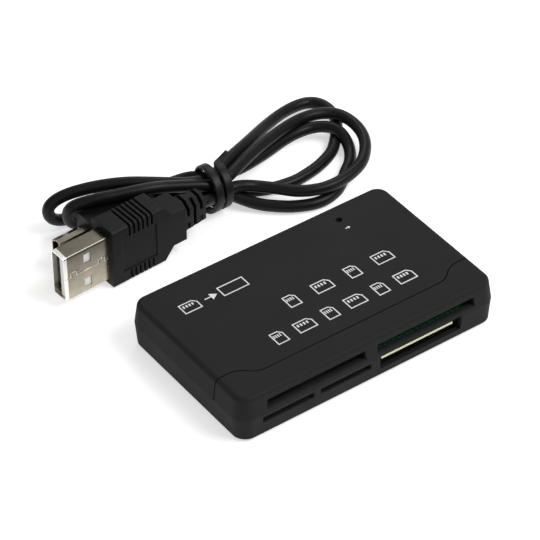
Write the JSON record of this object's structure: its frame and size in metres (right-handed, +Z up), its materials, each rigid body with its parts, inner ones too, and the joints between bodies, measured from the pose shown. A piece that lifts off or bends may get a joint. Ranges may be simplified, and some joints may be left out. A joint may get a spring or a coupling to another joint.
{
  "type": "memory card reader",
  "caption": "Flat rectangular memory card reader with card slots in its front edge, a curved cover seam and its own tied lead with a large and a small plug.",
  "frame": {"origin": "middle of the reader's underside, on the table that the lead also lies on", "axes": "+X along the slotted front to its right, +Y from the slots to the back, +Z up"},
  "size_m": [0.0889, 0.0876, 0.0155],
  "materials": {
    "housing": "fine matt texture, dark grey",
    "board": "green solder mask",
    "chip": "moulded black",
    "can": "drawn can",
    "capacitor": "fired ceramic",
    "lens": "clear tinted",
    "socket_plastic": "moulded black",
    "shield": "rolled sheet",
    "contact": "gold plated",
    "plug_shell": "nickel plated",
    "plug_insulator": "moulded white",
    "grip_insulator": "moulded black",
    "grip": "matt black",
    "cord": "satin black",
    "tie": "satin black"
  },
  "bodies": {
    "root": {"bottom_shell": "housing", "top_cover": "housing", "main_board": "board", "controller_chip": "chip", "voltage_regulator": "chip", "crystal_can": "can", "chip_capacitors": "capacitor", "chip_resistors": "chip", "indicator_led": "lens", "rear_card_header": "socket_plastic", "rear_card_pins": "contact", "mini_socket_shell": "shield", "mini_socket_tongue": "socket_plastic", "mini_socket_contacts": "contact", "a_plug_shell": "plug_shell", "a_plug_insulator": "plug_insulator", "a_plug_contacts": "contact", "a_plug_overmould": "grip", "mini_plug_shell": "plug_shell", "mini_plug_insulator": "grip_insulator", "mini_plug_contacts": "contact", "mini_plug_overmould": "grip", "cable_hank": "cord", "cable_tie": "tie", "upper_left_socket_body": "socket_plastic", "upper_left_socket_shield": "shield", "upper_left_socket_contacts": "contact", "upper_right_socket_body": "socket_plastic", "upper_right_socket_shield": "shield", "upper_right_socket_contacts": "contact", "lower_left_socket_body": "socket_plastic", "lower_left_socket_shield": "shield", "lower_left_socket_contacts": "contact", "lower_middle_socket_body": "socket_plastic", "lower_middle_socket_shield": "shield", "lower_middle_socket_contacts": "contact", "lower_right_socket_body": "socket_plastic", "lower_right_socket_shield": "shield", "lower_right_socket_contacts": "contact"}
  },
  "joints": []
}
